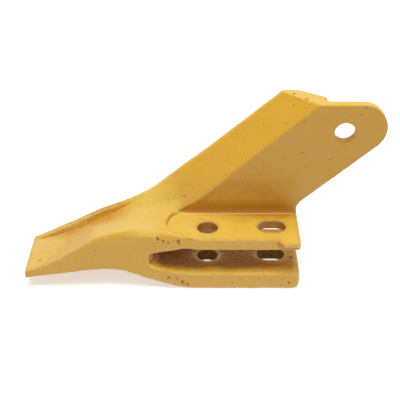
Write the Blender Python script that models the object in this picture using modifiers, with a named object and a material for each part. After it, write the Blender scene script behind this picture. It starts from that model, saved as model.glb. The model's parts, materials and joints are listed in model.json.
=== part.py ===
"""Side bucket tooth: one steel casting with a pick blade, a lip clamp of two jaws and a bolting ear.

Millimetres are used for the numbers below and turned into metres when the meshes are made.
X runs from the cutting tip (minus) to the rear (plus), Y from the bucket's mouth side (minus)
to its outer side (plus), Z up. The origin lies on the lower jaw's underside, midway between
the two lip bolts.
"""
import math

import bmesh
import bpy
from mathutils import Vector

MM = 0.001

# Bolt holes: the rear lip hole is slotted and sits a little off the line, and every rim is rounded.
# HOLE_SIDES is twice an odd number, so that no edge of a hole's wall lies where a slot is parted.
BOLT_SPACING = 63.5
BOLT_DIAMETER = 20.0
SLOT_LENGTH = 27.5
SLOT_SHIFT_X = 0.9
SLOT_SHIFT_Y = 1.5
RIM_ROUND = 1.6
RIM_OVERSHOOT = 0.05
RIM_STEPS = 3
HOLE_SIDES = 26
CUTTER_PAST = 4.0

# Jaws and the gap for the bucket's lip. The gap's front end is nearer the tip at its mouth, on the
# near side, and steps back further in. LIP_ROOF and LIP_FLOOR are points (x, z) of its narrowing
# part, and LIP_END has its front corner as (distance behind the end, z).
LOWER_JAW = 15.0
LIP_GAP = 23.0
UPPER_JAW = 11.0
PAD_Z = LOWER_JAW + LIP_GAP + UPPER_JAW
JAW_REAR_X = 59.8
JAW_REAR_ROUND = 8.0
LOWER_CORNER_RADIUS = 4.5
SLOT_END_X = -85.6
SLOT_MOUTH_X = -89.0
SLOT_MOUTH_Y = -26.0
SLOT_STEP_DEPTH = 2.5
LIP_ROOF = ((-76, 36.1), (-64, 37.8), (-55, 39.3), (-49, 39.1), (-44, 38.4), (-38, LOWER_JAW + LIP_GAP))
LIP_ROOF_SLOPE = 0.162
LIP_FLOOR = ((-42, LOWER_JAW), (-54, 15.4), (-64, 16.8), (-71, 18.1), (-79, 19.7))
LIP_FLOOR_SLOPE = -0.265
LIP_END_RUN = 3.6
LIP_END = ((1.2, 23), (0, 24.6))

# Near face: one plane that leans in towards its top
NEAR_FOOT_Y = -37.9
NEAR_LEAN = 0.315

# Ear
EAR_FRONT_Y = 27.3
EAR_THICKNESS = 11.0
EAR_BACK_Y = EAR_FRONT_Y + EAR_THICKNESS
EAR_TOP_Z = 169.8
EAR_END_X = 117.5
EAR_END_Z = 144.0
EAR_END_RADIUS = EAR_TOP_Z - EAR_END_Z
EAR_HOLE_X = 102.2
EAR_HOLE_Z = 140.0
EAR_END_FROM = -48.4
EAR_NOTCH_Z = 54.8
EAR_NOTCH_TOP = (62.6, 60)

# Pad and corner lug on the upper jaw. CRESCENT_TAIL and LUG_FRONT are plan points (x, y), and
# LUG_UNDERSIDE has points (y, z).
PAD_CORNER_X = -54.5
PAD_CORNER_RADIUS = 18.9
CREST_END_X = -42.5
CRESCENT_TAIL = ((-70, -3), (-64, -9.5), (-55, -15.5), (-47, -19), (CREST_END_X, -21))
CRESCENT_TAIL_INWARD = (0.55, 0.83)
LUG_Y = -31.5
LUG_ROOT_Y = -19.0
LUG_FRONT = ((35, LUG_ROOT_Y), (42.4, -29.6), (43.6, -31), (45.4, LUG_Y))
LUG_UNDERSIDE = ((-24, 39.5), (LUG_ROOT_Y, 39.5))
LUG_CORNER_RADIUS = 5.0
LUG_FACE_HEIGHT = 3.8

# Wing: a prism that climbs rearwards at this slope (rise over run) up to the ear's top
WING_SLOPE = 0.9
SHOULDER_X = 86.5

# How far blanks and cutters run past the casting
OVER = 10.0
CORNER_PAST = 3
OVER_Y = 90.0
FAR_X = 220.0

# Edge roundings
EDGE_ROUND = 1.2
EAR_FOOT_FILLET = 3.0
CRESCENT_FILLET = 4.0
CRESCENT_TAIL_FILLET = 0.5
CRESCENT_FILLET_FROM_Y = 3.0
CRESCENT_FILLET_FULL_Y = 11.0
FILLET_STEPS = 4
EAR_FOOT_FULL_X = -20.0
BEVEL_WIDTH = 5.0
SHARP_ANGLE = 38
SHADING_ANGLE = 35

# Points closer than this are one point, and faces that turn by less than this angle are one face
MERGE = 0.01
FLAT_ANGLE = 0.3

# How far from a feature's own place the middle of one of its edges may lie
TOUCHING = 0.1
EDGE_NEAR = 1.0
CREST_EDGE_NEAR = 2.5
PAD_EDGE_NEAR = 6.0

PAINT = (0.80, 0.43, 0.03, 1.0)


def smooth(knots, x):
    """Value at x of a smooth curve through the knots (x, value), level beyond both ends."""
    if x <= knots[0][0]:
        return knots[0][1]
    if x >= knots[-1][0]:
        return knots[-1][1]
    slopes = []
    for i in range(len(knots)):
        before = knots[max(i - 1, 0)]
        after = knots[min(i + 1, len(knots) - 1)]
        slopes.append((after[1] - before[1]) / (after[0] - before[0]))
    for i in range(len(knots) - 1):
        (x0, v0), (x1, v1) = knots[i], knots[i + 1]
        if x <= x1:
            span = x1 - x0
            t = (x - x0) / span
            return ((2 * t ** 3 - 3 * t ** 2 + 1) * v0 + (t ** 3 - 2 * t ** 2 + t) * span * slopes[i]
                    + (3 * t ** 2 - 2 * t ** 3) * v1 + (t ** 3 - t ** 2) * span * slopes[i + 1])


# Blade and wing: each table gives a place or size, at stations along X, of one of the lines that run
# from tip to rear. The crest is the near edge, the middle and inner lines lie on the blade's floor,
# the bevel line is where the wing's front face starts, and the rim is the far edge.
TIP_X = -213.0
BELLY_Z = ((-213, 10.3), (-178, 14.6), (-150, 17.8), (-130, 19.0), (-113, 17.0), (-94, 10.8),
           (-64, 2.6), (-48, 0.4), (-36, 0))
CREST_Z = ((-213, 18), (-197, 22), (-177, 31.3), (-162, 40), (-147, 47.5), (-132, 52),
           (-118, 55), (-103, 56.4), (-88, 55.6), (-74, 53.9), (-64, 52.5), (-56, 51.5),
           (-49, 50.2), (-45, 49.7), (-41, 49.6), (-37, 53))
CREST_ROUND = ((-213, 1.5), (-180, 2), (-155, 3.5), (-135, 8), (-110, 11), (-85, 10), (-68, 7),
               (-56, 3), (-45, 0.5), (-41, 0.35))
SHELF_SAG = ((-110, 0.2), (-74, 0.3), (-66, 0.8), (-56, 1.2), (-49, 0.6), (-42, 0))
MIDDLE_Z = ((-213, 17.4), (-177, 29.0), (-147, 44.5), (-132, 48.8), (-118, 51.8), (-103, 53.4),
            (-88, 52.4), (-74, 50.0), (-66, 49.4), (-56, 49.4), (-42, 49.8), (-30, 51))
INNER_Z = ((-213, 17.0), (-177, 27.5), (-147, 42.5), (-132, 47.2), (-118, 50.4), (-103, 52.6),
           (-88, 52.2), (-74, 51.2), (-66, 51.2), (-58, 53), (-40, 62))
BEVEL_Y = ((-213, 17), (-186, 18), (-139, 20), (-122, 24), (-108, 26.8))
BEVEL_Z = ((-213, 16.6), (-177, 26.6), (-147, 41.6), (-132, 46.2), (-118, 49.9), (-103, 52.4),
           (-88, 52.8), (-78, 52.4), (-70, 52.0), (-64, 52.0), (-60, 52.7), (-56, 54.5),
           (-49.5, 58.0), (-42.6, 62.3), (-31.3, 71.1), (-20, 81.8), (0, 100.5), (100, 190.5))
SWEEP_SAG = ((-115, 0), (-92, 1.5), (-72, 2.6), (-55, 1.6), (-38, 0))
RIM_Y = ((-213, 32), (-186, 34.5), (-166, 36), (-139, 38), (-122, 44), (-104, 51), (-89, 57),
         (-72, 62), (-55, 64))
RIM_Z = ((-213, 15.9), (-202, 19.9), (-186, 27.2), (-166, 36.2), (-154, 42.1), (-139, 48.8),
         (-128, 50.9), (-112, 54.1), (-104, 56.3), (-89, 61.9), (-72, 73.1), (-51, 89.9),
         (-35, 102.6), (-17, 118.3), (3.5, 136.2), (44, 171.5), (100, 220.3))
RIM_WIDTH = ((-213, 6.5), (-190, 8), (-130, 8.5), (-90, 7), (-60, 6.5))
HOLLOW_SAG = ((-213, 0.2), (-200, 1.5), (-186, 2.3), (-160, 2.9), (-136, 2.7), (-122, 2.0),
              (-108, 0.8), (-96, 0))
HOLLOW_WIDTH = ((-213, 5), (-186, 7), (-136, 8.5), (-108, 8))
HOLLOW_PROFILE = ((0, 0.1), (0.3, 0.7), (0.6, 1), (0.85, 0.75))
WING_BACK_Y = 47.0
FOOT_Y = ((-213, 31), (-139, 37), (-95, WING_BACK_Y))
INNER_Y = 14.0
WING_OUTER_Y = 64.3
WING_OUTER_TOP_X = 59.3
WING_BACK_TOP_X = 86.9
WING_START_X = -100.0
WING_FULL_X = -53.0
SIDE_CURVED_X = -139.0
SIDE_FLAT_X = -95.0
SIDE_UPPER_SHARE = 0.15
SIDE_LOWER_SHARE = 0.3
SWEEP_SHARE = 0.4
LIP_LINE_RISE = 0.3


def wing_height(x, top_x):
    """Height at x of a wing edge that reaches the ear's top height at top_x."""
    return EAR_TOP_Z + WING_SLOPE * (x - top_x)


def blend(x, x0, x1):
    """0 before x0, 1 after x1, with a smooth change between."""
    t = min(max((x - x0) / (x1 - x0), 0.0), 1.0)
    return t * t * (3 - 2 * t)


def mix(a, b, t):
    return a + (b - a) * t


def between(a, b, t):
    """The point at share t of the way from point a to point b."""
    return (mix(a[0], b[0], t), mix(a[1], b[1], t))


def sunk(point, depth):
    return (point[0], point[1] - depth)


def near_y(z):
    return NEAR_FOOT_Y + NEAR_LEAN * z


def rounded_corner(before, corner, after, radius, steps):
    """Points (y, z) of an arc that rounds a corner between two straight sides."""
    corner = Vector(corner)
    to_before = (Vector(before) - corner).normalized()
    to_after = (Vector(after) - corner).normalized()
    half = to_before.angle(to_after) / 2
    reach = radius / math.tan(half)
    centre = corner + (to_before + to_after).normalized() * radius / math.sin(half)
    start = corner + to_before * reach - centre
    end = corner + to_after * reach - centre
    sweep = start.angle(end)
    points = []
    for i in range(steps + 1):
        t = i / steps
        arm = (start * math.sin((1 - t) * sweep) + end * math.sin(t * sweep)) / math.sin(sweep)
        points.append(tuple(centre + arm))
    return points


def blade_section(x):
    """Closed outline (y, z) of the blade, neck and wing at one place along X."""
    belly = smooth(BELLY_Z, x)
    near_foot = (near_y(belly), belly)
    crest_z = smooth(CREST_Z, x)
    middle = (0.0, smooth(MIDDLE_Z, x))
    ridge = rounded_corner(near_foot, (near_y(crest_z), crest_z), middle, smooth(CREST_ROUND, x), 5)
    shelf = sunk(between(ridge[-1], middle, 0.5), smooth(SHELF_SAG, x))
    bevel = (smooth(BEVEL_Y, x), smooth(BEVEL_Z, x))
    outer = (smooth(RIM_Y, x), smooth(RIM_Z, x))
    lip = (outer[0] - smooth(RIM_WIDTH, x), outer[1] + LIP_LINE_RISE)
    hollow = rim_hollow(x, bevel, lip)
    sweep = sunk(between(bevel, hollow[0], SWEEP_SHARE), smooth(SWEEP_SAG, x))
    return ([near_foot] + ridge + [shelf, middle, (INNER_Y, smooth(INNER_Z, x)), bevel, sweep]
            + hollow + [lip, outer] + outer_side(x, outer, (smooth(FOOT_Y, x), belly)))


def rim_hollow(x, bevel, lip):
    """Points (y, z) of the hollow between the blade's floor and its raised far rim."""
    width = smooth(HOLLOW_WIDTH, x)
    points = []
    for across, share in HOLLOW_PROFILE:
        y = lip[0] - width * (1 - across)
        straight = mix(bevel[1], lip[1], (y - bevel[0]) / (lip[0] - bevel[0]))
        points.append((y, straight - share * smooth(HOLLOW_SAG, x)))
    return points


def outer_side(x, outer, foot):
    """Points (y, z) down the outer side, which grows into the wing's two outer faces."""
    blade_upper = between(outer, foot, SIDE_UPPER_SHARE)
    blade_lower = between(outer, foot, SIDE_LOWER_SHARE)
    wing_upper = (WING_OUTER_Y, wing_height(x, WING_OUTER_TOP_X))
    wing_lower = (WING_BACK_Y, wing_height(max(x, WING_FULL_X), WING_BACK_TOP_X))
    upper = between(blade_upper, wing_upper, blend(x, WING_START_X, WING_FULL_X))
    lower = between(blade_lower, wing_lower, blend(x, SIDE_CURVED_X, SIDE_FLAT_X))
    return [upper, lower, foot]


def loft(name, sections):
    """Closed body through sections with the same number of points (x, y, z)."""
    mesh = bpy.data.meshes.new(name)
    body = bmesh.new()
    rings = [[body.verts.new(Vector(point) * MM) for point in section] for section in sections]
    for ring, following in zip(rings, rings[1:]):
        for i in range(len(ring)):
            j = (i + 1) % len(ring)
            body.faces.new((ring[i], ring[j], following[j], following[i]))
    body.faces.new(rings[0])
    body.faces.new(rings[-1])
    bmesh.ops.recalc_face_normals(body, faces=body.faces)
    body.to_mesh(mesh)
    body.free()
    return link(bpy.data.objects.new(name, mesh), WORK)


def link(thing, collection):
    collection.objects.link(thing)
    return thing


def arc(centre_a, centre_b, radius, start, end, steps):
    """Points on an arc, angles in degrees."""
    points = []
    for i in range(steps + 1):
        angle = math.radians(start + (end - start) * i / steps)
        points.append((centre_a + radius * math.cos(angle), centre_b + radius * math.sin(angle)))
    return points


def outline_solid(name, outline, low, high, axis):
    """Solid from a flat outline, between low and high along the axis: 'X' (outline Y, Z),
    'Y' (outline X, Z) or 'Z' (outline X, Y)."""
    curve = bpy.data.curves.new(name, "CURVE")
    curve.dimensions = "2D"
    curve.fill_mode = "BOTH"
    curve.extrude = (high - low) / 2 * MM
    spline = curve.splines.new("POLY")
    spline.points.add(len(outline) - 1)
    for point, (a, b) in zip(spline.points, outline):
        point.co = (a * MM, b * MM, 0, 1)
    spline.use_cyclic_u = True
    drawn = link(bpy.data.objects.new(name, curve), WORK)
    middle = (low + high) / 2 * MM
    if axis == "X":
        drawn.rotation_euler = (math.pi / 2, 0, math.pi / 2)
        drawn.location = (middle, 0, 0)
    elif axis == "Y":
        drawn.rotation_euler = (math.pi / 2, 0, 0)
        drawn.location = (0, middle, 0)
    else:
        drawn.location = (0, 0, middle)
    solid = baked(drawn)
    bpy.data.objects.remove(drawn)
    return solid


def baked(thing):
    """A plain mesh object with the evaluated shape of a thing, in world coordinates."""
    bpy.context.view_layer.update()
    evaluated = thing.evaluated_get(bpy.context.evaluated_depsgraph_get())
    mesh = bpy.data.meshes.new_from_object(evaluated)
    mesh.transform(thing.matrix_world)
    body = bmesh.new()
    body.from_mesh(mesh)
    bmesh.ops.remove_doubles(body, verts=body.verts, dist=MERGE * MM)
    bmesh.ops.recalc_face_normals(body, faces=body.faces)
    body.to_mesh(mesh)
    body.free()
    return link(bpy.data.objects.new(thing.name + "_mesh", mesh), WORK)


def cleaned(thing):
    """The baked thing without stray points, its flat faces merged."""
    solid = baked(thing)
    body = bmesh.new()
    body.from_mesh(solid.data)
    bmesh.ops.dissolve_degenerate(body, dist=2 * MERGE * MM, edges=body.edges)
    bmesh.ops.dissolve_limit(body, angle_limit=math.radians(FLAT_ANGLE), verts=body.verts,
                             edges=body.edges)
    body.to_mesh(solid.data)
    body.free()
    return solid


def round_edges(solid, radius_of):
    """Bevel on the edges that turn sharply, each by the radius in millimetres given for it."""
    body = bmesh.new()
    body.from_mesh(solid.data)
    weights = body.edges.layers.float
    weight = weights.get("bevel_weight_edge") or weights.new("bevel_weight_edge")
    for edge in body.edges:
        edge[weight] = 0.0
        if len(edge.link_faces) == 2 and edge.calc_face_angle() > math.radians(SHARP_ANGLE):
            middle = (edge.verts[0].co + edge.verts[1].co) / 2 / MM
            edge[weight] = radius_of(middle, edge.is_convex) / BEVEL_WIDTH
    body.to_mesh(solid.data)
    body.free()
    bevel = solid.modifiers.new("edge_rounding", "BEVEL")
    bevel.limit_method = "WEIGHT"
    bevel.width = BEVEL_WIDTH * MM
    bevel.segments = 3
    bevel.use_clamp_overlap = False
    bevel.miter_outer = "MITER_SHARP"


def casting_radius(middle, convex):
    """Rounding of one edge of the casting, by where its middle lies.

    Inner edges stay as cut, and so do the crescent's top, the slot's mouth, the jaw's rear corner
    underneath and the crease under the wing. The ear's foot line starts sharp at the crescent."""
    if not convex:
        return 0.0
    near_pad = abs(middle.z - PAD_Z) < PAD_EDGE_NEAR and middle.y < EAR_FRONT_Y + EDGE_NEAR
    on_crescent = near_pad and middle.x < CREST_END_X + CREST_EDGE_NEAR
    in_gap = LOWER_JAW < middle.z < LOWER_JAW + LIP_GAP
    at_slot_mouth = in_gap and abs(middle.x - SLOT_MOUTH_X) < TOUCHING
    under_jaw_corner = (middle.x > JAW_REAR_X - JAW_REAR_ROUND
                        and middle.z < JAW_REAR_ROUND + EDGE_NEAR
                        and middle.y < NEAR_FOOT_Y + JAW_REAR_ROUND)
    crease_z = wing_height(WING_FULL_X, WING_BACK_TOP_X)
    on_crease = (middle.x < WING_FULL_X + EDGE_NEAR and middle.y > WING_BACK_Y - EDGE_NEAR
                 and abs(middle.z - crease_z) < EDGE_NEAR)
    if on_crescent or at_slot_mouth or under_jaw_corner or on_crease:
        return 0.0
    if abs(middle.y - EAR_FRONT_Y) < EDGE_NEAR and middle.z > PAD_Z and middle.x < 0:
        return EDGE_ROUND * blend(middle.x, WING_FULL_X, EAR_FOOT_FULL_X)
    return EDGE_ROUND


def combine(target, other, operation):
    modifier = target.modifiers.new(operation.lower(), "BOOLEAN")
    modifier.operation = operation
    modifier.solver = "EXACT"
    modifier.object = other
    other.display_type = "WIRE"
    other.hide_render = True


def flared_hole(name, plate, straight=0.0):
    """Cutter for a bolt hole through a plate centred on z = 0, with rounded rims.

    The turned shape is stretched along X by `straight`, which makes a slotted hole."""
    radius = BOLT_DIAMETER / 2
    past = plate / 2 + CUTTER_PAST
    face = plate / 2 + RIM_OVERSHOOT
    rim = []
    for i in range(RIM_STEPS + 1):
        a = math.pi / 2 * i / RIM_STEPS
        rim.append((radius + RIM_ROUND * (1 - math.sin(a)), face - RIM_ROUND * (1 - math.cos(a))))
    profile = [(0, past), (radius + RIM_ROUND, past)] + rim
    profile += [(r, -z) for r, z in reversed(rim)] + [(radius + RIM_ROUND, -past), (0, -past)]
    mesh = bpy.data.meshes.new(name)
    mesh.from_pydata([(r * MM, 0, z * MM) for r, z in profile],
                     [(i, i + 1) for i in range(len(profile) - 1)], [])
    line = link(bpy.data.objects.new(name, mesh), WORK)
    turn = line.modifiers.new("turn", "SCREW")
    turn.steps = HOLE_SIDES
    turn.render_steps = HOLE_SIDES
    turn.use_merge_vertices = True
    turn.merge_threshold = MERGE * MM
    cutter = baked(line)
    bpy.data.objects.remove(line)
    for vertex in cutter.data.vertices:
        if abs(vertex.co.x) > TOUCHING * MM:
            vertex.co.x += math.copysign(straight / 2 * MM, vertex.co.x)
    return cutter


def side_outline():
    """The casting's outline seen from the mouth side, oversize wherever the loft shapes it."""
    points = [(-FAR_X, -OVER), (0, -OVER), (0, 0)]
    points += arc(JAW_REAR_X - JAW_REAR_ROUND, JAW_REAR_ROUND, JAW_REAR_ROUND, -90, 0, 6)
    points += [(JAW_REAR_X, EAR_NOTCH_Z), EAR_NOTCH_TOP]
    points += arc(EAR_END_X, EAR_END_Z, EAR_END_RADIUS, EAR_END_FROM, 90, 18)
    points += [(-FAR_X, EAR_TOP_Z)]
    return points


def ear_slab_outline():
    """Ear blank: it stays inside the wing and runs past the ear's outline elsewhere."""
    low = PAD_Z - OVER
    high = EAR_TOP_Z + OVER
    rear = EAR_END_X + EAR_END_RADIUS + OVER
    return [(-40, low), (-30, 71), (74.5, 165), (77.2, 170.4), (80, high), (rear, high), (rear, low)]


def pad_wall():
    """Plan of the pad sunk into the blade's root: each point (x, y) of its wall, the direction in
    which the fillet at the wall's foot reaches out, and the fillet's radius there."""
    centre_y = EAR_FRONT_Y - PAD_CORNER_RADIUS
    wall = [((FAR_X, EAR_FRONT_Y), (0, -1), EAR_FOOT_FILLET)]
    for x, y in arc(PAD_CORNER_X, centre_y, PAD_CORNER_RADIUS, 90, 195, 14):
        inward = Vector((PAD_CORNER_X - x, centre_y - y)).normalized()
        grown = blend(x, PAD_CORNER_X, PAD_CORNER_X - PAD_CORNER_RADIUS / 2)
        radius = mix(EAR_FOOT_FILLET, CRESCENT_FILLET, grown)
        share = blend(y, CRESCENT_FILLET_FROM_Y, CRESCENT_FILLET_FULL_Y)
        wall.append(((x, y), inward, mix(CRESCENT_TAIL_FILLET, radius, share)))
    for point in CRESCENT_TAIL:
        wall.append((point, CRESCENT_TAIL_INWARD, CRESCENT_TAIL_FILLET))
    wall.append(((CREST_END_X, -OVER_Y), (1, 0), CRESCENT_TAIL_FILLET))
    wall.append(((FAR_X, -OVER_Y), (0, 1), CRESCENT_TAIL_FILLET))
    return wall


def pad_pocket():
    """Cutter for the space over the pad, with its floor's fillets."""
    sections = []
    for i in range(FILLET_STEPS + 1):
        a = math.pi / 2 * i / FILLET_STEPS
        section = []
        for (x, y), inward, radius in pad_wall():
            reach = radius * (1 - math.sin(a))
            section.append((x + inward[0] * reach, y + inward[1] * reach,
                            PAD_Z + radius * (1 - math.cos(a))))
        sections.append(section)
    sections.append([(x, y, EAR_TOP_Z + OVER) for (x, y), inward, radius in pad_wall()])
    return loft("pad_pocket", sections)


def lip_slot_outline(end_x):
    """Side view of the space for the bucket's lip, narrowing to its front end at end_x."""
    roof = LOWER_JAW + LIP_GAP
    top = [along(LIP_ROOF[0], LIP_ROOF_SLOPE, end_x)] + list(LIP_ROOF)
    rear = [(FAR_X, roof), (FAR_X, LOWER_JAW)]
    end = [(end_x + run, z) for run, z in LIP_END]
    return top + rear + list(LIP_FLOOR) + [along(LIP_FLOOR[-1], LIP_FLOOR_SLOPE, end_x + LIP_END_RUN)] + end


def along(start, slope, x):
    """The point at x on the line through start."""
    return (x, start[1] + slope * (x - start[0]))


def lip_space():
    """Cutter for the lip: its front end steps back by a slanted face a little way in."""
    mouth = lip_slot_outline(SLOT_MOUTH_X)
    throat = lip_slot_outline(SLOT_END_X)
    throat_y = SLOT_MOUTH_Y + SLOT_STEP_DEPTH
    places = ((-OVER_Y, mouth), (SLOT_MOUTH_Y, mouth), (throat_y, throat), (OVER_Y, throat))
    return loft("lip_space", [[(x, y, z) for x, z in outline] for y, outline in places])


def side_plate_outline():
    """Side view of the space for the bucket's side plate, behind the sloping shoulder."""
    low = LOWER_JAW + LIP_GAP / 2
    high = EAR_TOP_Z + OVER
    return [(shoulder_x(low), low), (shoulder_x(high), high), (FAR_X, high), (FAR_X, low)]


def shoulder_x(z):
    """Place along X of the sloping shoulder's face at a height."""
    return SHOULDER_X + (z - EAR_TOP_Z) / WING_SLOPE


def corner_lug():
    """Lug on the upper jaw's rear corner: its plan, cut to a section that slants back below."""
    rear = JAW_REAR_X + OVER
    high = PAD_Z + OVER
    outline = list(LUG_FRONT) + [(rear, LUG_Y), (rear, LUG_ROOT_Y)]
    plan = outline_solid("lug_plan", outline, LOWER_JAW + LIP_GAP, high, "Z")
    section = [(LUG_ROOT_Y, high), (LUG_Y, high), (LUG_Y, PAD_Z - LUG_FACE_HEIGHT)] + list(LUG_UNDERSIDE)
    combine(plan, outline_solid("lug_section", section, 0, FAR_X, "X"), "INTERSECT")
    return plan


def corner_cutter(name, face_y, radius, low, high):
    """Space outside a rounded upright corner between the rear end and a near face at face_y.

    Its arc runs a little past both faces, so that it cuts them cleanly."""
    bite = arc(JAW_REAR_X - radius, face_y + radius, radius + 0.01, -90 - CORNER_PAST, CORNER_PAST, 8)
    near = face_y - OVER
    rear = JAW_REAR_X + OVER
    outline = [(bite[0][0], near)] + bite + [(rear, bite[-1][1]), (rear, near)]
    return outline_solid(name, outline, low, high, "Z")


for old in list(bpy.data.objects):
    bpy.data.objects.remove(old)
PART = bpy.data.collections.new("side_bucket_tooth")
WORK = bpy.data.collections.new("cutters")
bpy.context.scene.collection.children.link(PART)
bpy.context.scene.collection.children.link(WORK)

stations = [TIP_X + 4 * i for i in range(46)] + [TIP_X + 184 + 8 * i for i in range(16)]
blank = loft("blade_and_wing", [[(x, y, z) for y, z in blade_section(x)] for x in stations])
combine(blank, outline_solid("ear_slab", ear_slab_outline(), 26, 39.5, "Y"), "UNION")
combine(blank, corner_lug(), "UNION")
combine(blank, outline_solid("side_outline", side_outline(), -OVER_Y, OVER_Y, "Y"), "INTERSECT")
combine(blank, pad_pocket(), "DIFFERENCE")
side_plate = outline_solid("side_plate_space", side_plate_outline(), EAR_BACK_Y, OVER_Y, "Y")
combine(blank, side_plate, "DIFFERENCE")
combine(blank, lip_space(), "DIFFERENCE")
lug_low = PAD_Z - UPPER_JAW - OVER / 2
lug_corner = corner_cutter("lug_corner", LUG_Y, LUG_CORNER_RADIUS, lug_low, PAD_Z + OVER)
combine(blank, lug_corner, "DIFFERENCE")
lean = math.atan(NEAR_LEAN)
jaw_corner = corner_cutter("jaw_corner", NEAR_FOOT_Y * math.cos(lean), LOWER_CORNER_RADIUS, -30, 12)
jaw_corner.rotation_euler = (-lean, 0, 0)
combine(blank, jaw_corner, "DIFFERENCE")

casting = cleaned(blank)
bpy.data.objects.remove(blank)
round_edges(casting, casting_radius)

for plate, z in ((UPPER_JAW, PAD_Z - UPPER_JAW / 2), (LOWER_JAW, LOWER_JAW / 2)):
    round_hole = flared_hole("round_hole", plate)
    round_hole.location = (-BOLT_SPACING / 2 * MM, 0, z * MM)
    combine(casting, round_hole, "DIFFERENCE")
    slotted_hole = flared_hole("slotted_hole", plate, SLOT_LENGTH - BOLT_DIAMETER)
    slotted_hole.location = ((BOLT_SPACING / 2 + SLOT_SHIFT_X) * MM, SLOT_SHIFT_Y * MM, z * MM)
    combine(casting, slotted_hole, "DIFFERENCE")
ear_hole = flared_hole("ear_hole", EAR_THICKNESS)
ear_hole.rotation_euler = (math.pi / 2, 0, 0)
ear_hole.location = (EAR_HOLE_X * MM, (EAR_FRONT_Y + EAR_BACK_Y) / 2 * MM, EAR_HOLE_Z * MM)
combine(casting, ear_hole, "DIFFERENCE")

finished = baked(casting)
bpy.data.objects.remove(casting)
finished.name = "side_tooth_casting"
WORK.objects.unlink(finished)
PART.objects.link(finished)

paint = bpy.data.materials.new("yellow_paint")
paint.use_nodes = True
shader = paint.node_tree.nodes["Principled BSDF"]
shader.inputs["Base Color"].default_value = PAINT
shader.inputs["Roughness"].default_value = 0.45
finished.data.materials.clear()
finished.data.materials.append(paint)
finished.data.shade_smooth()
finished.data.set_sharp_from_angle(angle=math.radians(SHADING_ANGLE))
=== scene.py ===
"""Looks of the side bucket tooth: one painted steel casting on a white studio floor.

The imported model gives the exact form. It is meshed finely here, softened and roughened as a sand
casting is, marked with pits, nodules and chips, and painted. Metres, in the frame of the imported
model: X runs from the cutting tip to the rear, Y from the camera to the outer side, Z up.
"""
import json
import math
import random

import bmesh
import bpy
import numpy as np
from mathutils import Euler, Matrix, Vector, noise
from mathutils.bvhtree import BVHTree

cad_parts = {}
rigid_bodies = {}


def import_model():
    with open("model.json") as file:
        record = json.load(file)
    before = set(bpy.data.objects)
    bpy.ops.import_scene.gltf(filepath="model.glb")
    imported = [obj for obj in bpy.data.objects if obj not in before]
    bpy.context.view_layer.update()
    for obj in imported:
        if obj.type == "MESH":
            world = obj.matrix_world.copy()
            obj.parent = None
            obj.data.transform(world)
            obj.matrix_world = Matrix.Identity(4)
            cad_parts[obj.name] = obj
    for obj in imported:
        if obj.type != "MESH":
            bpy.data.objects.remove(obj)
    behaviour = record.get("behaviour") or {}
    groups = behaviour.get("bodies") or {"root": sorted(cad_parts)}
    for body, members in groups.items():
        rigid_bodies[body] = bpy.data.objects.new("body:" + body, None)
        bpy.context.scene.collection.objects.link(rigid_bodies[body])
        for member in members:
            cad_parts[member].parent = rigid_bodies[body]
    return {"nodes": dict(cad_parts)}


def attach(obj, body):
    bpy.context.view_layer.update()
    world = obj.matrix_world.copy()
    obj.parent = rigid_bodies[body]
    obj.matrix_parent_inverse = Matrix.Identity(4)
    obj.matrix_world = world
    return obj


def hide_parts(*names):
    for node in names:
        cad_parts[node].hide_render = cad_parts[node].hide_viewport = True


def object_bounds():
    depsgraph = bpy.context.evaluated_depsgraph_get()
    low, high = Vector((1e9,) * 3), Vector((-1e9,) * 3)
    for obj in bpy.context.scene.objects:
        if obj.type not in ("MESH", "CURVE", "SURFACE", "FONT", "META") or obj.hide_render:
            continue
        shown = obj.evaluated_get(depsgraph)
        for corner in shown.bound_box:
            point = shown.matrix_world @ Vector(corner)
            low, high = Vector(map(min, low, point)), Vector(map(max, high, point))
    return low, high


MM = 0.001
NODE = "side_tooth_casting"

# Camera, at the photograph's viewing angle. The tilt is in degrees, lens and sensor in mm.
CAMERA_PLACE = (-0.03925, -0.7447, 0.5551)
CAMERA_TILT = 57.5
CAMERA_LENS = 81.0
SENSOR_WIDTH = 36.0
PHOTO_WIDTH = 400

# Mesh of the skin. Points of the solid closer than MERGE become one, and the mesh is made finer
# where it turns by more than SHARP_FROM.
MERGE = 0.001 * MM
VOXEL = 1.7 * MM
SHARP_FROM = 0.22

# Smoothing. The broad faces are faired, while EDGE_GUARD times the sharpness, less EDGE_GUARD_LOSS,
# holds the edges back. Everything is softened a little afterwards.
FAIR_ROUNDS = 14
EDGE_GUARD = 5.0
EDGE_GUARD_LOSS = 0.3
SOFTEN_ROUNDS = 1

# Unevenness that a sand mould leaves: broad waves and a finer grain
WAVE_SIZE = 16 * MM
WAVE_DEPTH = 0.30 * MM
GRAIN_SIZE = 4.5 * MM
GRAIN_DEPTH = 0.16 * MM

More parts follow.
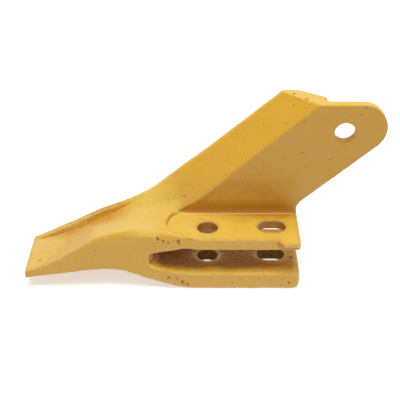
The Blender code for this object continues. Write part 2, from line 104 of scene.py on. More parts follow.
# Marks seen in the photograph: a pixel of its 400 x 400 frame, and the mark's radius in mm
PITS = (
    ((199.5, 160.4), 0.9), ((202.6, 178.2), 0.8), ((186.3, 184.5), 1.0), ((228.5, 169.3), 0.8),
    ((243.2, 153.4), 0.8), ((193.0, 189.0), 0.7), ((168.0, 199.5), 0.9), ((57.0, 248.7), 0.9),
    ((79.0, 231.0), 1.0), ((124.0, 239.0), 0.9), ((246.0, 178.0), 1.0), ((362.0, 114.5), 0.9),
    ((270.0, 124.0), 0.7), ((243.5, 142.5), 0.7), ((187.0, 160.5), 1.0), ((230.0, 174.5), 0.8),
    ((96.0, 218.0), 0.8), ((150.0, 212.0), 0.8), ((258.0, 279.0), 0.7), ((213.0, 274.0), 0.7),
)
NODULES = (
    ((138.0, 210.0), 1.3), ((51.0, 261.6), 1.2), ((66.0, 253.0), 1.2), ((105.7, 238.4), 1.1),
    ((50.0, 255.0), 1.0), ((57.0, 252.0), 0.9), ((89.0, 226.5), 1.1), ((104.0, 217.0), 1.0),
    ((258.0, 151.0), 1.0), ((256.0, 146.0), 0.9), ((150.0, 200.0), 1.1), ((284.0, 118.0), 0.8),
)
CHIPS = (
    ((158.0, 238.5), 3.0), ((163.0, 241.0), 2.2), ((168.0, 243.0), 1.6), ((178.5, 242.0), 3.2),
    ((168.5, 278.0), 2.6), ((177.0, 279.0), 2.0), ((183.0, 282.5), 3.4), ((187.5, 284.5), 1.8),
    ((294.5, 93.5), 2.4), ((307.0, 98.5), 3.0), ((367.0, 106.5), 2.0), ((40.0, 260.0), 2.2),
    ((291.0, 257.5), 2.4), ((289.0, 283.0), 1.8), ((184.5, 196.5), 1.2),
)

# How deep a mark goes, as a share of its radius, and which way: inwards or, for nodules, outwards
MARK_DEPTH = 0.8
MARK_WAYS = {"pits": 1, "nodules": -1, "chips": 0.5}
REFINE_PAST = 1.5 * MM
REFINE_ROUNDS = 2

# Where the photograph shows many small pits and nodules: the middle pixel, how far they spread in
# pixels along and across the picture, and how many there are. Their radii are in mm.
CLUSTERS = (
    ((55.0, 252.0), (9.0, 7.0), 14), ((88.0, 228.0), (11.0, 6.0), 14), ((107.0, 217.0), (8.0, 5.0), 8),
    ((146.0, 207.0), (11.0, 7.0), 12), ((80.0, 241.0), (12.0, 4.0), 6), ((215.0, 166.0), (20.0, 14.0), 14),
    ((255.0, 125.0), (18.0, 12.0), 10), ((300.0, 150.0), (28.0, 18.0), 10), ((235.0, 228.0), (35.0, 6.0), 5),
    ((120.0, 256.0), (16.0, 6.0), 4), ((235.0, 282.0), (35.0, 4.0), 6), ((300.0, 98.0), (10.0, 3.0), 4),
)
CLUSTER_SIZES = (0.6, 1.1)

# The same kinds of mark where the photograph doesn't show the casting: how many, their radii in mm,
# and the box that the lines which find their places are aimed at
SCATTERED = {"pits": 46, "nodules": 26, "chips": 14}
SCATTER_SIZES = {"pits": (0.7, 1.1), "nodules": (0.8, 1.3), "chips": (1.5, 3.2)}
SCATTER_BOX = ((-0.2, 0.14), (-0.03, 0.06), (0.0, 0.16))
SCATTER_SEED = 11

# Where the pad's rounded end runs out smoothly into the hump: pixels and radii in mm, as for
# marks. SMOOTHED_GAIN lets the inner half of each radius count in full.
SMOOTHED = (((171.0, 228.0), 7.0), ((177.0, 232.0), 8.0), ((184.0, 235.5), 8.0), ((191.0, 237.5), 6.0))
SMOOTHED_ROUNDS = 24
SMOOTHED_GAIN = 2

# Bolt holes through the jaws, in mm: axis X and Y, and half the slot's straight length. HOLE_REACH
# is the radius with the rounded rim. Walls below LOWER_WALLS_TOP hardly got any paint, and those
# above it count by UPPER_SHARE. Only what faces up or down by less than UPRIGHT is a wall.
HOLES = ((-31.75, 0.0, 0.0), (32.65, 1.5, 3.75))
HOLE_REACH = 12.2
LOWER_WALLS_TOP = 15.5
UPPER_SHARE = 0.45
UPRIGHT = 0.6

# Rays that tell how open a place is. They are set out from the normal and RAY_SIDE, and
# SHORTEST_SIDE guards against a division by zero where the two are in line.
OPEN_RAYS = 16
OPEN_REACH = 70 * MM
OPEN_ROUNDS = 3
RAY_SIDE = (0.36, 0.48, 0.8)
SHORTEST_SIDE = 1e-6

# The other measures of the surface: the curve that counts as fully sharp (1/m), rounds of evening
# out, and the depth of a broad hollow that counts in full
EDGE_CURVE = 450.0
HOLLOW_ROUNDS = 4
LYING_ROUNDS = 6
CUP_ROUNDS = 120
CUP_DEPTH = 1.6 * MM

# Colours: paint on upright and on sloping faces, low and high on the casting, as painted light and
# shade by facing and height; dust with a painted sheen; painted shade in recesses; worn edges with
# painted highlights; and what shows where the paint is thin or chipped
SHADED_PAINT_LOW_SIDE = (0.78, 0.425, 0.045)
SHADED_PAINT_LOW_SLOPE = (0.76, 0.42, 0.03)
SHADED_PAINT_HIGH_SIDE = (0.755, 0.385, 0.003)
SHADED_PAINT_HIGH_SLOPE = (0.83, 0.445, 0.006)
PAINT_DUST_AND_SHEEN = (0.86, 0.56, 0.08)
PAINTED_SHADE_COLOUR = (0.56, 0.21, 0.002)
EDGE_WEAR_AND_HIGHLIGHT = (0.90, 0.66, 0.22)
BROWN_LIGHT = (0.70, 0.37, 0.10)
BROWN_DARK = (0.11, 0.058, 0.025)
OLIVE_LIGHT = (0.84, 0.62, 0.28)
OLIVE_DARK = (0.30, 0.20, 0.09)
WALL_LIGHT = (0.24, 0.14, 0.035)
WALL_DARK = (0.11, 0.064, 0.02)
CHIP = (0.13, 0.085, 0.04)

# Noises that the paint uses: size of the grains, and detail
BROAD_NOISE = (30 * MM, 3.0)
MIDDLING_NOISE = (5 * MM, 3.0)
FINE_NOISE = (0.8 * MM, 3.0)
LUMP_NOISE = (1.7 * MM, 2.0)
SPOT_NOISE = (1.8 * MM, 5.0)
CHIP_NOISE = (0.9 * MM, 5.0)

# The ranges below are smooth changes. Two numbers are where it starts and ends, for a change from
# 0 to 1, and two more are its values there. Ranges named _X, _Y and _Z are places in metres.
# First the paint's colour with painted light and shade, from upright to sloping faces and from low
# to high on the casting.
SLOPING = (0.35, 0.65)
HIGH_Z = (0.055, 0.095)

# Painted shade in recesses: closed-in places, inner corners, and the blade's hollow beside its rim
SHADE_UNEVEN = (0.3, 0.7, -0.04, 0.04)
SHADE_OPENNESS = (0.95, 0.35, 0.0, 0.85)
SHADE_HOLLOW = (0.18, 0.45, 0.0, 0.85)
SHADE_CUPPED = (0.03, 0.5, 0.0, 0.7)
BLADE_X = (-0.135, -0.095, 1.0, 0.0)
RIM_X = (-0.165, -0.140)
RIM_Y = (0.0, 0.022, 0.0, 0.55)

# Root, where the blade rises into the wing: dust with a painted sheen, and hardly any painted shade.
# It stops at the pad.
ROOT_START_X = (-0.115, -0.095)
ROOT_END_X = (-0.064, -0.050, 1.0, 0.0)
ROOT_Z = (0.062, 0.082, 1.0, 0.0)
ROOT_LYING = (0.55, 0.75)
OFF_PAD_X = (-0.084, -0.076, 1.0, 0.0)
OFF_PAD_Y = (0.021, 0.026)
OFF_PAD_Z = (0.054, 0.060)
ROOT_SHADE = 0.15

# Open rear end of the lip gap, which got more paint and has less painted shade
GAP_Z = (0.036, 0.042, 1.0, 0.0)
GAP_END_X = (0.030, 0.048)
GAP_END_SHADE = 0.35
GAP_END_THIN = 0.2

# Painted highlight: a pale line on the pad, along the foot of the ear
FOOT_LYING = (0.9, 0.98)
FOOT_HOLLOW = (0.06, 0.2)
FOOT_X = (-0.064, -0.054)
FOOT_Y = (-0.008, 0.008)
FOOT_SHADE = 0.1
FOOT_HIGHLIGHT = 0.95

# Small lumps and hollows of the casting, in patches, with painted shade in the sunken ones and wear
# with a painted highlight on the raised ones
LUMP_PATCHES = (0.42, 0.58, 0.2, 1.0)
RAISED_LUMPS = (0.64, 0.72)
SUNKEN_LUMPS = (0.36, 0.28)
SUNKEN_SHADE = 0.8
RAISED_WEAR_AND_HIGHLIGHT = 0.45
LUMP_BUMP = 1.5

# Dust with a painted sheen on what lies flat and open, with less of it by the blade's rim
DUST_AND_SHEEN_LYING = (0.88, 0.99)
DUST_AND_SHEEN_UNEVEN = (0.3, 0.6, 0.75, 1.0)
DUST_AND_SHEEN_OPENNESS = (0.45, 0.7)
DUST_AND_SHEEN_BY_RIM = (0.0, 0.5, 1.0, 0.25)

# Wear with painted highlights along edges, low on the casting, and on nodules
WEAR_AND_HIGHLIGHT_EDGE = (0.3, 0.8)
WEAR_AND_HIGHLIGHT_UNEVEN = (0.3, 0.6, 0.15, 0.6)
WEAR_AND_HIGHLIGHT_OPENNESS = (0.25, 0.6, 0.4, 1.0)
WEAR_AND_HIGHLIGHT_Z = (0.050, 0.065, 1.0, 0.05)
WEAR_AND_HIGHLIGHT_NODULES = (0.1, 0.5, 0.0, 0.9)

# Thin paint deep inside and on the walls of holes, brown in front and olive further back
SPECKLE = (0.35, 0.65, -0.1, 0.1)
THIN_OPENNESS = (0.38, 0.22, 0.0, 0.85)
THIN_WALLS = (0.3, 0.9, 0.0, 0.95)
SPOTS = (0.38, 0.5)
OLIVE_X = (-0.064, -0.040)

# Chips with a ragged outline, and bare pits
CHIP_RAGGED = (0.3, 0.7, -0.6, 0.6)
CHIP_SHARE = (0.55, 0.67)
CHIP_REACH = (0.02, 0.15)
CHIP_PITS = (-0.2, -0.6, 0.0, 0.7)

# Finish: roughness, shine and bumps. Less shine in closed-in places and by the blade's rim is a
# painted shade on reflections.
ROUGHNESS = (0.3, 0.7, 0.30, 0.40)
BARE_ROUGHNESS = 0.35
SHINE_SHADED_IN_RECESSES = (0.5, 0.95, 0.45, 0.82)
SHINE_BARE = 0.3
SHINE_SHADED_BY_RIM = (0.0, 0.5, 1.0, 0.45)
FINE_BUMPS = (0.3, 0.7, 0.0, 0.5)
MIDDLING_BUMPS = (0.3, 0.7, 0.0, 1.0)
BUMP_STRENGTH = 0.5
BUMP_DISTANCE = 0.25 * MM

# Light: white surroundings with a darker ceiling in reflections, and one large soft lamp
# overhead, turned towards AIM
SURROUNDINGS = 0.275
REFLECTED_CEILING = 0.25
CEILING_RISE = (0.55, 0.9)
LAMP_PLACE = (-0.05, 0.05, 3.0)
LAMP_WIDTH = 2.0
LAMP_POWER = 71.0
AIM = (-0.02, 0, 0.06)

# Floor, just below the casting. It gives off light of its own to the camera, which grows from
# FLOOR_LIFT to full white with the distance from the casting, so that the horizon doesn't show.
FLOOR_SIZE = 12
FLOOR_DROP = 0.0004
FLOOR_WHITE = (0.9, 0.9, 0.9, 1)
FLOOR_ROUGHNESS = 0.9
FLOOR_LIFT = 0.52
FLOOR_FADE = (0.4, 2.5)
WHITE = (1, 1, 1, 1)


def clear_scene():
    for old in list(bpy.data.objects):
        bpy.data.objects.remove(old)


def casting_skin(node):
    """Even fine mesh of the casting, and its exact form to cast rays at and lay points on."""
    body = bmesh.new()
    body.from_mesh(node.data)
    bmesh.ops.remove_doubles(body, verts=body.verts, dist=MERGE)
    exact = bpy.data.meshes.new("casting_exact")
    body.to_mesh(exact)
    body.free()
    source = bpy.data.objects.new("casting_exact", exact)
    bpy.context.scene.collection.objects.link(source)
    skin = bpy.data.objects.new("painted_casting", exact.copy())
    bpy.context.scene.collection.objects.link(skin)

    remesh = skin.modifiers.new("fine_mesh", "REMESH")
    remesh.mode = "VOXEL"
    remesh.voxel_size = VOXEL

    graph = bpy.context.evaluated_depsgraph_get()
    fine = bpy.data.meshes.new_from_object(skin.evaluated_get(graph))
    skin.modifiers.clear()
    skin.data = fine
    exact_form = BVHTree.FromObject(source, graph)
    bpy.data.objects.remove(source)
    return skin, exact_form


def sight_line(pixel):
    """Direction from the camera through a pixel of the photograph."""
    width = SENSOR_WIDTH / CAMERA_LENS
    across = (pixel[0] / PHOTO_WIDTH - 0.5) * width
    up = (0.5 - pixel[1] / PHOTO_WIDTH) * width
    line = Vector((across, up, -1)).normalized()
    line.rotate(Euler((math.radians(CAMERA_TILT), 0, 0)))
    return line


def marks_in_photo(exact_form, listed):
    """Places and radii of the listed marks, on the surface that the camera sees."""
    found = []
    for pixel, radius in listed:
        place = exact_form.ray_cast(Vector(CAMERA_PLACE), sight_line(pixel))[0]
        if place:
            found.append((place, radius * MM))
    return found


def clustered_marks(exact_form, rng):
    """Small pits and nodules of the clusters, as two lists."""
    found = ([], [])
    for middle, spread, count in CLUSTERS:
        for step in range(count):
            pixel = (rng.gauss(middle[0], spread[0]), rng.gauss(middle[1], spread[1]))
            radius = rng.uniform(*CLUSTER_SIZES)
            found[rng.randrange(2)].extend(marks_in_photo(exact_form, [(pixel, radius)]))
    return found


def scattered_marks(exact_form, count, sizes, rng):
    """Marks thrown at the casting from all round, apart from what faces the camera."""
    found = []
    while len(found) < count:
        aim = Vector([rng.uniform(*span) for span in SCATTER_BOX])
        line = Vector([rng.gauss(0, 1) for axis in range(3)]).normalized()
        place, normal, face, distance = exact_form.ray_cast(aim - line, line)
        radius = rng.uniform(*sizes) * MM
        if place is None or normal.dot(Vector(CAMERA_PLACE) - place) > 0:
            continue
        found.append((place, radius))
    return found


def all_marks(exact_form):
    """Pits, nodules and chips, as lists of (place, radius)."""
    rng = random.Random(SCATTER_SEED)
    marks = {}
    for kind, listed in (("pits", PITS), ("nodules", NODULES), ("chips", CHIPS)):
        marks[kind] = marks_in_photo(exact_form, listed)
        marks[kind] += scattered_marks(exact_form, SCATTERED[kind], SCATTER_SIZES[kind], rng)
    pits, nodules = clustered_marks(exact_form, rng)
    marks["pits"] += pits
    marks["nodules"] += nodules
    return marks


def refine(skin, chosen):
    """Splits the mesh's edges whose two ends are both chosen."""
    body = bmesh.new()
    body.from_mesh(skin.data)
    body.verts.ensure_lookup_table()
    edges = [e for e in body.edges if chosen[e.verts[0].index] and chosen[e.verts[1].index]]
    bmesh.ops.subdivide_edges(body, edges=edges, cuts=1, use_grid_fill=True)
    body.to_mesh(skin.data)
    body.free()


def lay_on(skin, exact_form):
    """Moves every point of the skin to the nearest place on the exact form."""
    for vertex in skin.data.vertices:
        vertex.co = exact_form.find_nearest(vertex.co)[0]
    skin.data.update()


def near_marks(surface, marks):
    """The points that need a finer mesh to show a mark."""
    chosen = np.zeros(len(surface.place), bool)
    for place, radius in sum(marks.values(), []):
        chosen |= np.linalg.norm(surface.place - np.array(place), axis=1) < radius + REFINE_PAST
    return chosen


def hole_walls(surface):
    """1 on the walls of the lower jaw's holes, less on those of the upper jaw, 0 elsewhere."""
    x, y, z = surface.place.T / MM
    walls = np.zeros(len(x))
    for hole_x, hole_y, straight in HOLES:
        along = np.maximum(np.abs(x - hole_x) - straight, 0)
        inside = (np.hypot(along, y - hole_y) < HOLE_REACH) & (np.abs(surface.normal[:, 2]) < UPRIGHT)
        walls[inside] = np.where(z[inside] < LOWER_WALLS_TOP, 1.0, UPPER_SHARE)
    return walls


class Surface:
    """A mesh's points, normals and edges as arrays."""

    def __init__(self, mesh):
        self.mesh = mesh
        count = len(mesh.vertices)
        self.place = np.empty(count * 3)
        mesh.vertices.foreach_get("co", self.place)
        self.place = self.place.reshape(-1, 3)
        self.normal = np.empty(count * 3)
        mesh.vertices.foreach_get("normal", self.normal)
        self.normal = self.normal.reshape(-1, 3)
        self.edges = np.empty(len(mesh.edges) * 2, int)
        mesh.edges.foreach_get("vertices", self.edges)
        self.edges = self.edges.reshape(-1, 2)
        self.joined = np.bincount(self.edges.ravel(), minlength=count)

    def around(self, values):
        """Mean of the values at each point's neighbours."""
        first, second = self.edges.T
        count = len(self.place)
        total = (np.bincount(first, values[second], count) + np.bincount(second, values[first], count))
        return total / self.joined

    def spread(self, values, rounds):
        """The values, evened out with those of the neighbours."""
        for step in range(rounds):
            values = (values + self.around(values)) / 2
        return values

    def sharpness(self):
        """How sharply the surface turns: 1 along outer edges, -1 along inner ones, 0 where flat."""
        middle = np.stack([self.around(self.place[:, axis]) for axis in range(3)], axis=1)
        stands_out = np.sum((self.place - middle) * self.normal, axis=1)
        first, second = self.edges.T
        square = np.sum((self.place[first] - self.place[second]) ** 2, axis=1)
        count = len(self.place)
        reach = (np.bincount(first, square, count) + np.bincount(second, square, count)) / self.joined
        return np.clip(self.spread(4 * stands_out / reach, 1) / EDGE_CURVE, -1, 1)

    def cupping(self):
        """How deep each point lies in a broad hollow: 0 where there is none, 1 at CUP_DEPTH."""
        broad = np.stack([self.spread(self.place[:, axis], CUP_ROUNDS) for axis in range(3)], axis=1)
        sunk = np.sum((broad - self.place) * self.normal, axis=1)
        return np.clip(sunk / CUP_DEPTH, 0, 1)

    def openness(self, exact_form):
        """Share of rays from each point that leave the casting behind."""
        side = np.cross(self.normal, RAY_SIDE)
        side /= np.maximum(np.linalg.norm(side, axis=1, keepdims=True), SHORTEST_SIDE)
        other = np.cross(self.normal, side)
        rays = []
        for i in range(OPEN_RAYS):
            lean = math.sqrt((i + 0.5) / OPEN_RAYS)
            turn = i * math.pi * (3 - math.sqrt(5))
            rays.append(side * lean * math.cos(turn) + other * lean * math.sin(turn)
                        + self.normal * math.sqrt(1 - lean * lean))
        rays = np.stack(rays, axis=1).tolist()
        starts = (self.place + self.normal * VOXEL / 2).tolist()
        cast = exact_form.ray_cast
        open_share = np.empty(len(starts))
        for i, (start, lines) in enumerate(zip(starts, rays)):
            blocked = sum(1 for line in lines if cast(start, line, OPEN_REACH)[3] is not None)
            open_share[i] = 1 - blocked / OPEN_RAYS
        return self.spread(open_share, OPEN_ROUNDS)

    def nearness(self, marks):
        """1 at the middle of a mark, 0 outside its radius."""
        near = np.zeros(len(self.place))
        for place, radius in marks:
            distance = np.linalg.norm(self.place - np.array(place), axis=1)
            near = np.maximum(near, np.clip(1 - distance / radius, 0, 1))
        return near

    def soften(self, rounds, share=1.0):
        """Draws each point towards its neighbours, by the share given for it."""
        for step in range(rounds):
            middle = np.stack([self.around(self.place[:, axis]) for axis in range(3)], axis=1)
            self.place += (middle - self.place) / 2 * share
        self.mesh.vertices.foreach_set("co", self.place.ravel())
        self.mesh.update()

    def keep(self, name, values):
        """Stores the values for the material."""
        attribute = self.mesh.attributes.new(name, "FLOAT", "POINT")
        attribute.data.foreach_set("value", values)


def fair(surface, exact_form):
    """Smooths the broad faces and the pad's rounded end, and holds the other edges back."""
    turning = surface.spread(np.abs(surface.sharpness()), HOLLOW_ROUNDS)
    on_edges = np.clip(turning * EDGE_GUARD - EDGE_GUARD_LOSS, 0, 1)
    smoothed = np.minimum(SMOOTHED_GAIN * surface.nearness(marks_in_photo(exact_form, SMOOTHED)), 1)
    on_edges *= 1 - smoothed
    surface.soften(FAIR_ROUNDS, (1 - on_edges)[:, None])
    surface.soften(SMOOTHED_ROUNDS, smoothed[:, None])


def keep_form(surface):
    """Stores how the surface turns and lies."""
    sharpness = surface.sharpness()
    surface.keep("edge", sharpness)
    surface.keep("hollow", surface.spread(np.maximum(-sharpness, 0), HOLLOW_ROUNDS))
    surface.keep("cupped", surface.cupping())
    surface.keep("lying", surface.spread(surface.normal[:, 2], LYING_ROUNDS))


def keep_marks(surface, marks, exact_form):
    """Stores how open the surface is, and where its marks and hole walls are."""
    surface.keep("openness", surface.openness(exact_form))
    surface.keep("chipped", surface.nearness(marks["chips"]))
    surface.keep("marked", surface.nearness(marks["nodules"]) - surface.nearness(marks["pits"]))
    surface.keep("hole_wall", hole_walls(surface))


def roughen(surface, marks, low, high):
    """Sinks the skin unevenly, as a sand mould leaves it, and keeps it inside the exact form's box."""
    depth = np.empty(len(surface.place))
    for i, point in enumerate(surface.place):
        point = Vector(point)
        wave = noise.noise(point / WAVE_SIZE)
        grain = noise.noise(point / GRAIN_SIZE)
        depth[i] = WAVE_DEPTH * 0.5 * (1 + wave) + GRAIN_DEPTH * 0.5 * (1 + grain)
    for kind, way in MARK_WAYS.items():
        for place, radius in marks[kind]:
            near = surface.nearness([(place, radius)])
            depth += way * MARK_DEPTH * radius * near * near * (3 - 2 * near)
    place = surface.place - surface.normal * depth[:, None]
    np.clip(place, low, high, out=place)
    surface.mesh.vertices.foreach_set("co", place.ravel())
    surface.mesh.update()
    surface.mesh.shade_smooth()


class Nodes:
    """A node tree, with short ways to build it. Inputs are numbers, colours or nodes' outputs."""

    def __init__(self, tree):
        self.tree = tree

    def add(self, kind, inputs, **settings):
        made = self.tree.nodes.new("ShaderNode" + kind)
        for name, value in settings.items():
            setattr(made, name, value)
        for name, value in inputs.items():
            if isinstance(value, bpy.types.NodeSocket):
                self.tree.links.new(value, made.inputs[name])
            elif isinstance(value, tuple) and made.inputs[name].type == "RGBA":
                made.inputs[name].default_value = (*value, 1)
            else:
                made.inputs[name].default_value = value
        return made

    def chain(self, operation, first, *others):
        """The operation on the first two values, then on that result and the next, and so on."""
        for other in others:
            first = self.add("Math", {0: first, 1: other}, operation=operation).outputs["Value"]
        return first

    def times(self, *values):
        return self.chain("MULTIPLY", *values)

    def most(self, *values):
        return self.chain("MAXIMUM", *values)

    def plus(self, *values):
        return self.chain("ADD", *values)

    def less(self, *values):
        return self.chain("SUBTRACT", *values)

    def ramp(self, value, start, end, low=0.0, high=1.0):
        """Smooth change from low to high while the value runs from start to end."""
        inputs = {"Value": value, "From Min": start, "From Max": end, "To Min": low, "To Max": high}
        return self.add("MapRange", inputs, interpolation_type="SMOOTHSTEP").outputs["Result"]

    def up_to(self, share, highest):
        """From 0 up to the highest value, as the share goes from 0 to 1."""
        return self.ramp(share, 0.0, 1.0, 0.0, highest)

    def down_to(self, share, lowest):
        """From 1 down to the lowest value, as the share goes from 0 to 1."""
        return self.ramp(share, 0.0, 1.0, 1.0, lowest)

    def grain(self, coords, size, detail):
        """Noise between about 0.3 and 0.7, with grains of the given size."""
        inputs = {"Vector": coords, "Scale": 1 / size, "Detail": detail}
        return self.add("TexNoise", inputs).outputs["Fac"]

    def mixed(self, share, colour, other):
        """The first colour where share is 0, the other where it is 1."""
        inputs = {0: share, 6: colour, 7: other}
        return self.add("Mix", inputs, data_type="RGBA").outputs[2]

    def stored(self, name):
        return self.add("Attribute", {}, attribute_name=name).outputs["Fac"]

    def split(self, vector):
        """The vector's X, Y and Z."""
        parts = self.add("SeparateXYZ", {0: vector}).outputs
        return parts["X"], parts["Y"], parts["Z"]


class Paint(Nodes):
    """Semi-gloss yellow paint over a rough casting, worn at edges and thin deep inside, with painted light
    and shade, painted shade in recesses, and painted sheen and highlights.
    """

    def __init__(self, tree):
        super().__init__(tree)
        self.coords = tree.nodes.new("ShaderNodeTexCoord").outputs["Object"]
        self.x, self.y, self.z = self.split(self.coords)
        self.openness = self.stored("openness")
        self.edge = self.stored("edge")
        self.hollow = self.stored("hollow")
        self.lying = self.stored("lying")
        self.chipped = self.stored("chipped")
        self.marked = self.stored("marked")
        self.broad = self.grain(self.coords, *BROAD_NOISE)
        self.middling = self.grain(self.coords, *MIDDLING_NOISE)
        self.fine = self.grain(self.coords, *FINE_NOISE)
        self.speckle = self.ramp(self.fine, *SPECKLE)
        self.find_places()
        self.find_lumps()

    def find_places(self):
        """Shares that are 1 in one part of the casting and fade out around it."""
        self.on_blade = self.ramp(self.x, *BLADE_X)
        self.by_rim = self.times(self.ramp(self.x, *RIM_X), self.on_blade, self.ramp(self.y, *RIM_Y))
        off_pad = self.most(self.ramp(self.x, *OFF_PAD_X), self.ramp(self.z, *OFF_PAD_Z),
                            self.ramp(self.y, *OFF_PAD_Y))
        self.root = self.times(self.ramp(self.x, *ROOT_START_X), self.ramp(self.x, *ROOT_END_X),
                               self.ramp(self.z, *ROOT_Z), self.ramp(self.lying, *ROOT_LYING), off_pad)
        self.gap_end = self.times(self.ramp(self.x, *GAP_END_X), self.ramp(self.z, *GAP_Z))
        self.foot = self.times(self.ramp(self.lying, *FOOT_LYING), self.ramp(self.hollow, *FOOT_HOLLOW),
                               self.ramp(self.y, *FOOT_Y), self.ramp(self.x, *FOOT_X))

    def find_lumps(self):
        """Shares that are 1 on small raised lumps, and on sunken ones."""
        lumps = self.grain(self.coords, *LUMP_NOISE)
        patches = self.ramp(self.broad, *LUMP_PATCHES)
        self.raised = self.times(self.ramp(lumps, *RAISED_LUMPS), patches)
        self.sunken = self.times(self.ramp(lumps, *SUNKEN_LUMPS), patches)

    def paint_shaded_by_facing(self):
        """The paint's colour, with painted light and shade by facing and height."""
        sloping = self.ramp(self.lying, *SLOPING)
        low = self.mixed(sloping, SHADED_PAINT_LOW_SIDE, SHADED_PAINT_LOW_SLOPE)
        high = self.mixed(sloping, SHADED_PAINT_HIGH_SIDE, SHADED_PAINT_HIGH_SLOPE)
        return self.mixed(self.ramp(self.z, *HIGH_Z), low, high)

    def painted_shade(self):
        """Share of the painted shade."""
        closed = self.plus(self.openness, self.ramp(self.broad, *SHADE_UNEVEN))
        channel = self.times(self.ramp(self.stored("cupped"), *SHADE_CUPPED), self.on_blade)
        deep = self.most(self.ramp(closed, *SHADE_OPENNESS), self.ramp(self.hollow, *SHADE_HOLLOW),
                         channel, self.by_rim)
        deep = self.times(deep, self.down_to(self.root, ROOT_SHADE),
                          self.down_to(self.gap_end, GAP_END_SHADE), self.down_to(self.foot, FOOT_SHADE))
        return self.most(deep, self.up_to(self.sunken, SUNKEN_SHADE))

    def dust_and_sheen(self):
        """Share of the colour of dust and painted sheen."""
        uneven = self.ramp(self.broad, *DUST_AND_SHEEN_UNEVEN)
        flat = self.times(self.ramp(self.lying, *DUST_AND_SHEEN_LYING), uneven,
                          self.ramp(self.openness, *DUST_AND_SHEEN_OPENNESS))
        dust_and_sheen_share = self.most(flat, self.times(self.root, uneven))
        return self.times(dust_and_sheen_share, self.ramp(self.by_rim, *DUST_AND_SHEEN_BY_RIM))

    def wear_and_highlight(self):
        """Share of the colour of worn edges and painted highlights."""
        rubbed_and_lit = self.times(self.ramp(self.edge, *WEAR_AND_HIGHLIGHT_EDGE), self.ramp(self.middling, *WEAR_AND_HIGHLIGHT_UNEVEN),
                            self.ramp(self.openness, *WEAR_AND_HIGHLIGHT_OPENNESS), self.ramp(self.z, *WEAR_AND_HIGHLIGHT_Z))
        return self.most(rubbed_and_lit, self.up_to(self.foot, FOOT_HIGHLIGHT), self.ramp(self.marked, *WEAR_AND_HIGHLIGHT_NODULES),
                         self.up_to(self.raised, RAISED_WEAR_AND_HIGHLIGHT))

    def thin_paint(self):
        """Share of the colour that shows where the paint is thin, and that colour."""
        inside = self.ramp(self.plus(self.openness, self.speckle), *THIN_OPENNESS)
        inside = self.times(inside, self.down_to(self.gap_end, GAP_END_THIN))
        wall = self.ramp(self.plus(self.stored("hole_wall"), self.speckle), *THIN_WALLS)
        spots = self.ramp(self.grain(self.coords, *SPOT_NOISE), *SPOTS)
        olive = self.ramp(self.x, *OLIVE_X)
        dark = self.mixed(olive, BROWN_DARK, OLIVE_DARK)
        light = self.mixed(olive, BROWN_LIGHT, OLIVE_LIGHT)
        on_walls = self.mixed(spots, WALL_DARK, WALL_LIGHT)
        return self.most(inside, wall), self.mixed(wall, self.mixed(spots, dark, light), on_walls)

    def chips(self):
        """Share of bare metal in chips and pits."""
        ragged = self.ramp(self.grain(self.coords, *CHIP_NOISE), *CHIP_RAGGED)
        chip = self.ramp(self.plus(self.chipped, ragged), *CHIP_SHARE)
        chip = self.times(chip, self.ramp(self.chipped, *CHIP_REACH))
        return self.most(chip, self.ramp(self.marked, *CHIP_PITS))

    def bumps(self, bare):
        """Height of the small bumps."""
        even = self.plus(self.ramp(self.fine, *FINE_BUMPS), self.ramp(self.middling, *MIDDLING_BUMPS))
        risen = self.plus(self.less(even, bare), self.up_to(self.raised, LUMP_BUMP))
        return self.less(risen, self.up_to(self.sunken, LUMP_BUMP))


def paint_material():
    """The paint's layers, from the colour with painted light and shade to the chips, and its finish."""
    material = bpy.data.materials.new("yellow_paint")
    material.use_nodes = True
    tree = material.node_tree
    shader = tree.nodes["Principled BSDF"]
    paint = Paint(tree)
    thin, thin_colour = paint.thin_paint()
    chip = paint.chips()
    bare = paint.most(thin, chip)

    # Painted shade in recesses, then dust with a painted sheen, then worn edges with painted highlights
    colour = paint.mixed(paint.painted_shade(), paint.paint_shaded_by_facing(), PAINTED_SHADE_COLOUR)
    colour = paint.mixed(paint.dust_and_sheen(), colour, PAINT_DUST_AND_SHEEN)
    colour = paint.mixed(paint.wear_and_highlight(), colour, EDGE_WEAR_AND_HIGHLIGHT)
    colour = paint.mixed(thin, colour, thin_colour)
    colour = paint.mixed(chip, colour, CHIP)
    tree.links.new(colour, shader.inputs["Base Color"])

    roughness = paint.plus(paint.ramp(paint.broad, *ROUGHNESS), paint.up_to(bare, BARE_ROUGHNESS))
    tree.links.new(roughness, shader.inputs["Roughness"])
    # Less shine in closed-in places and by the rim: painted shade on reflections
    shine = paint.times(paint.ramp(paint.openness, *SHINE_SHADED_IN_RECESSES), paint.down_to(bare, SHINE_BARE),
                        paint.ramp(paint.by_rim, *SHINE_SHADED_BY_RIM))
    tree.links.new(shine, shader.inputs["Specular IOR Level"])
    height = {"Strength": BUMP_STRENGTH, "Distance": BUMP_DISTANCE, "Height": paint.bumps(bare)}
    tree.links.new(paint.add("Bump", height).outputs["Normal"], shader.inputs["Normal"])
    return material


def floor_material():
    """White to the camera and in reflections, dulled only by the casting's shadow."""
    material = bpy.data.materials.new("white_floor")
    material.use_nodes = True
    tree = material.node_tree
    nodes = Nodes(tree)
    shader = tree.nodes["Principled BSDF"]
    shader.inputs["Base Color"].default_value = FLOOR_WHITE
    shader.inputs["Roughness"].default_value = FLOOR_ROUGHNESS
    shader.inputs["Specular IOR Level"].default_value = 0.0
    shader.inputs["Emission Color"].default_value = WHITE

    coords = tree.nodes.new("ShaderNodeTexCoord").outputs["Object"]
    distance = nodes.add("VectorMath", {0: coords}, operation="LENGTH").outputs["Value"]
    path = tree.nodes.new("ShaderNodeLightPath").outputs
    seen = nodes.most(path["Is Camera Ray"], path["Is Glossy Ray"], path["Is Transmission Ray"])
    lift = nodes.times(seen, nodes.ramp(distance, *FLOOR_FADE, FLOOR_LIFT, 1.0))
    tree.links.new(lift, shader.inputs["Emission Strength"])
    return material


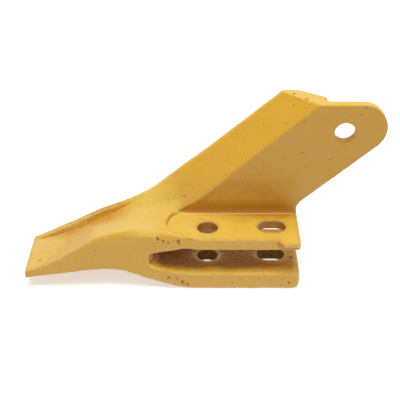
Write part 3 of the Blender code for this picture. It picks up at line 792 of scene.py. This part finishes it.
def surroundings():
    """White world: full white to the camera, with a darker ceiling in reflections, and soft light."""
    world = bpy.data.worlds.new("white_surroundings")
    world.use_nodes = True
    tree = world.node_tree
    nodes = Nodes(tree)
    background = tree.nodes["Background"]
    background.inputs["Color"].default_value = WHITE
    path = tree.nodes.new("ShaderNodeLightPath").outputs
    direction = tree.nodes.new("ShaderNodeTexCoord").outputs["Generated"]
    reflected = nodes.ramp(nodes.split(direction)[2], *CEILING_RISE, 1.0, REFLECTED_CEILING)
    seen = nodes.most(path["Is Camera Ray"], path["Is Transmission Ray"])
    level = nodes.add("Mix", {0: path["Is Glossy Ray"], 2: SURROUNDINGS, 3: reflected}).outputs[0]
    level = nodes.add("Mix", {0: seen, 2: level, 3: 1.0}).outputs[0]
    tree.links.new(level, background.inputs["Strength"])
    return world


def add_floor():
    bpy.ops.mesh.primitive_plane_add(size=FLOOR_SIZE, location=(0, 0, -FLOOR_DROP))
    floor = bpy.context.object
    floor.name = "floor"
    floor.data.materials.append(floor_material())


def add_lamp():
    lamp = bpy.data.lights.new("overhead", "AREA")
    lamp.size = LAMP_WIDTH
    lamp.energy = LAMP_POWER
    holder = bpy.data.objects.new("overhead", lamp)
    holder.location = LAMP_PLACE
    holder.rotation_euler = (Vector(AIM) - Vector(LAMP_PLACE)).to_track_quat("-Z", "Y").to_euler()
    holder.visible_glossy = False
    bpy.context.scene.collection.objects.link(holder)


def add_camera():
    view = bpy.data.cameras.new("photo_view")
    view.lens = CAMERA_LENS
    view.sensor_width = SENSOR_WIDTH
    camera = bpy.data.objects.new("photo_view", view)
    camera.location = CAMERA_PLACE
    camera.rotation_euler = (math.radians(CAMERA_TILT), 0, 0)
    bpy.context.scene.collection.objects.link(camera)
    bpy.context.scene.camera = camera


clear_scene()
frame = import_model()
cad_box = [list(corner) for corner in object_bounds()]

# The skin: an even mesh, finer at edges and marks, then smoothed, measured and roughened
skin, exact_form = casting_skin(frame["nodes"][NODE])
lay_on(skin, exact_form)
refine(skin, np.abs(Surface(skin.data).sharpness()) > SHARP_FROM)
marks = all_marks(exact_form)
for step in range(REFINE_ROUNDS):
    refine(skin, near_marks(Surface(skin.data), marks))
lay_on(skin, exact_form)
fair(Surface(skin.data), exact_form)
surface = Surface(skin.data)
keep_form(surface)
surface.soften(SOFTEN_ROUNDS)
keep_marks(surface, marks, exact_form)
roughen(surface, marks, *cad_box)

skin.data.materials.clear()
skin.data.materials.append(paint_material())
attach(skin, "root")
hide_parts(NODE)

# The studio around it
add_floor()
bpy.context.scene.world = surroundings()
add_lamp()
add_camera()
bpy.context.scene.view_settings.view_transform = "Standard"
